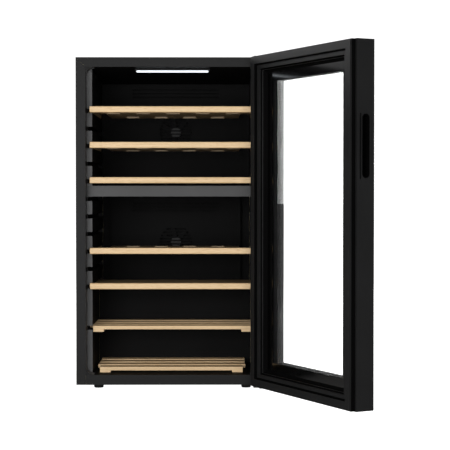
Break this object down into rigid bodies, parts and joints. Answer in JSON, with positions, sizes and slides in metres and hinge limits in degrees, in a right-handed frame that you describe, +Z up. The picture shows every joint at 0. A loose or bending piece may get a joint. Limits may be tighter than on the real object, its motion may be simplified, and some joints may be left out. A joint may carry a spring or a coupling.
{
  "type": "wine cooler",
  "caption": "Free-standing two-zone wine cooler with a full glass door standing open, wooden bottle shelves and a light bar.",
  "frame": {"origin": "on the floor, under the middle of the whole part with its door open", "axes": "+Z up, -Y out of the cabinet's front, +X to the right when facing the front"},
  "size_m": [0.7086, 0.861, 0.84],
  "materials": {
    "cabinet_paint": "dark grey satin powder coat",
    "liner_plastic": "black vacuum-formed liner, fine matt grain",
    "black_plastic": "black moulded plastic, matt",
    "grey_trim": "grey satin plastic trim",
    "light_cover": "white translucent light cover",
    "foam": "pale yellow rigid foam",
    "rubber": "black rubber, matt",
    "steel": "bright zinc-plated steel",
    "evaporator_metal": "bare rolled aluminium",
    "compressor_paint": "black stove enamel",
    "beech": "pale beech, clear satin varnish",
    "tinted_glass": "grey tinted float glass, polished",
    "spacer_black": "black glazing spacer, glossy",
    "bush_plastic": "pale grey acetal"
  },
  "bodies": {
    "cabinet": {"side_panel_left": "cabinet_paint", "side_panel_right": "cabinet_paint", "top_panel": "cabinet_paint", "base_pan": "cabinet_paint", "back_panel": "cabinet_paint", "rear_grille": "cabinet_paint", "liner_wall_left": "liner_plastic", "liner_wall_right": "liner_plastic", "liner_ceiling": "liner_plastic", "liner_floor": "liner_plastic", "liner_step": "liner_plastic", "liner_back": "liner_plastic", "duct_cover_upper": "liner_plastic", "duct_cover_lower": "liner_plastic", "zone_divider": "black_plastic", "light_housing": "black_plastic", "mains_inlet": "black_plastic", "divider_trim": "grey_trim", "light_diffuser": "light_cover", "insulation": "foam", "foot_rear_left": "rubber", "foot_rear_right": "rubber", "bay_wall": "steel", "compressor_mount": "steel", "hinge_top": "steel", "hinge_bottom": "steel", "evaporator_upper": "evaporator_metal", "evaporator_lower": "evaporator_metal", "compressor": "compressor_paint"},
    "door": {"door_stile_hinge": "black_plastic", "door_stile_handle": "black_plastic", "door_rail_top": "black_plastic", "door_rail_bottom": "black_plastic", "handle_cup": "black_plastic", "glass_outer": "tinted_glass", "glass_middle": "tinted_glass", "glass_inner": "tinted_glass", "glass_spacer_inner": "spacer_black", "glass_spacer_outer": "spacer_black", "door_inner_trim": "grey_trim", "door_gasket": "rubber", "hinge_bush_top": "bush_plastic", "hinge_bush_bottom": "bush_plastic"},
    "fan_upper": {"fan_rotor_upper": "black_plastic"},
    "fan_lower": {"fan_rotor_lower": "black_plastic"},
    "foot_left": {"foot_front_left": "rubber"},
    "foot_right": {"foot_front_right": "rubber"},
    "slats_upper": {"slat_shelf_upper": "beech"},
    "slats_lower": {"slat_shelf_lower": "beech"},
    "shelf_1": {"shelf_1_deck": "beech", "shelf_1_fascia": "beech"},
    "shelf_2": {"shelf_2_deck": "beech", "shelf_2_fascia": "beech"},
    "shelf_3": {"shelf_3_deck": "beech", "shelf_3_fascia": "beech"},
    "shelf_4": {"shelf_4_deck": "beech", "shelf_4_fascia": "beech"},
    "shelf_5": {"shelf_5_deck": "beech", "shelf_5_fascia": "beech"}
  },
  "joints": [
    {"name": "door_hinge", "type": "hinge", "parent": "cabinet", "child": "door", "pos_m": [0.11451, -0.00387, 0.4106], "axis": [0, 0, 1], "range_deg": [-116.7, 1.2]},
    {"name": "shelf_1_slide", "type": "slide", "parent": "cabinet", "child": "shelf_1", "axis": [0, -1, 0], "range_m": [0, 0.03]},
    {"name": "shelf_2_slide", "type": "slide", "parent": "cabinet", "child": "shelf_2", "axis": [0, -1, 0], "range_m": [0, 0.03]},
    {"name": "shelf_3_slide", "type": "slide", "parent": "cabinet", "child": "shelf_3", "axis": [0, -1, 0], "range_m": [0, 0.03]},
    {"name": "shelf_4_slide", "type": "slide", "parent": "cabinet", "child": "shelf_4", "axis": [0, -1, 0], "range_m": [0, 0.03]},
    {"name": "shelf_5_slide", "type": "slide", "parent": "cabinet", "child": "shelf_5", "axis": [0, -1, 0], "range_m": [0, 0.03]},
    {"name": "slats_upper_slide", "type": "slide", "parent": "cabinet", "child": "slats_upper", "axis": [0, -1, 0], "range_m": [0, 0.03]},
    {"name": "slats_lower_slide", "type": "slide", "parent": "cabinet", "child": "slats_lower", "axis": [0, -1, 0], "range_m": [0, 0.15]},
    {"name": "fan_upper_spin", "type": "hinge", "parent": "cabinet", "child": "fan_upper", "pos_m": [-0.11134, 0.39248, 0.6656], "axis": [0, 1, 0], "continuous": true},
    {"name": "fan_lower_spin", "type": "hinge", "parent": "cabinet", "child": "fan_lower", "pos_m": [-0.11134, 0.39248, 0.3606], "axis": [0, 1, 0], "continuous": true},
    {"name": "foot_left_screw", "type": "slide", "parent": "cabinet", "child": "foot_left", "axis": [0, 0, -1], "range_m": [0, 0.008]},
    {"name": "foot_right_screw", "type": "slide", "parent": "cabinet", "child": "foot_right", "axis": [0, 0, -1], "range_m": [0, 0.008]}
  ]
}
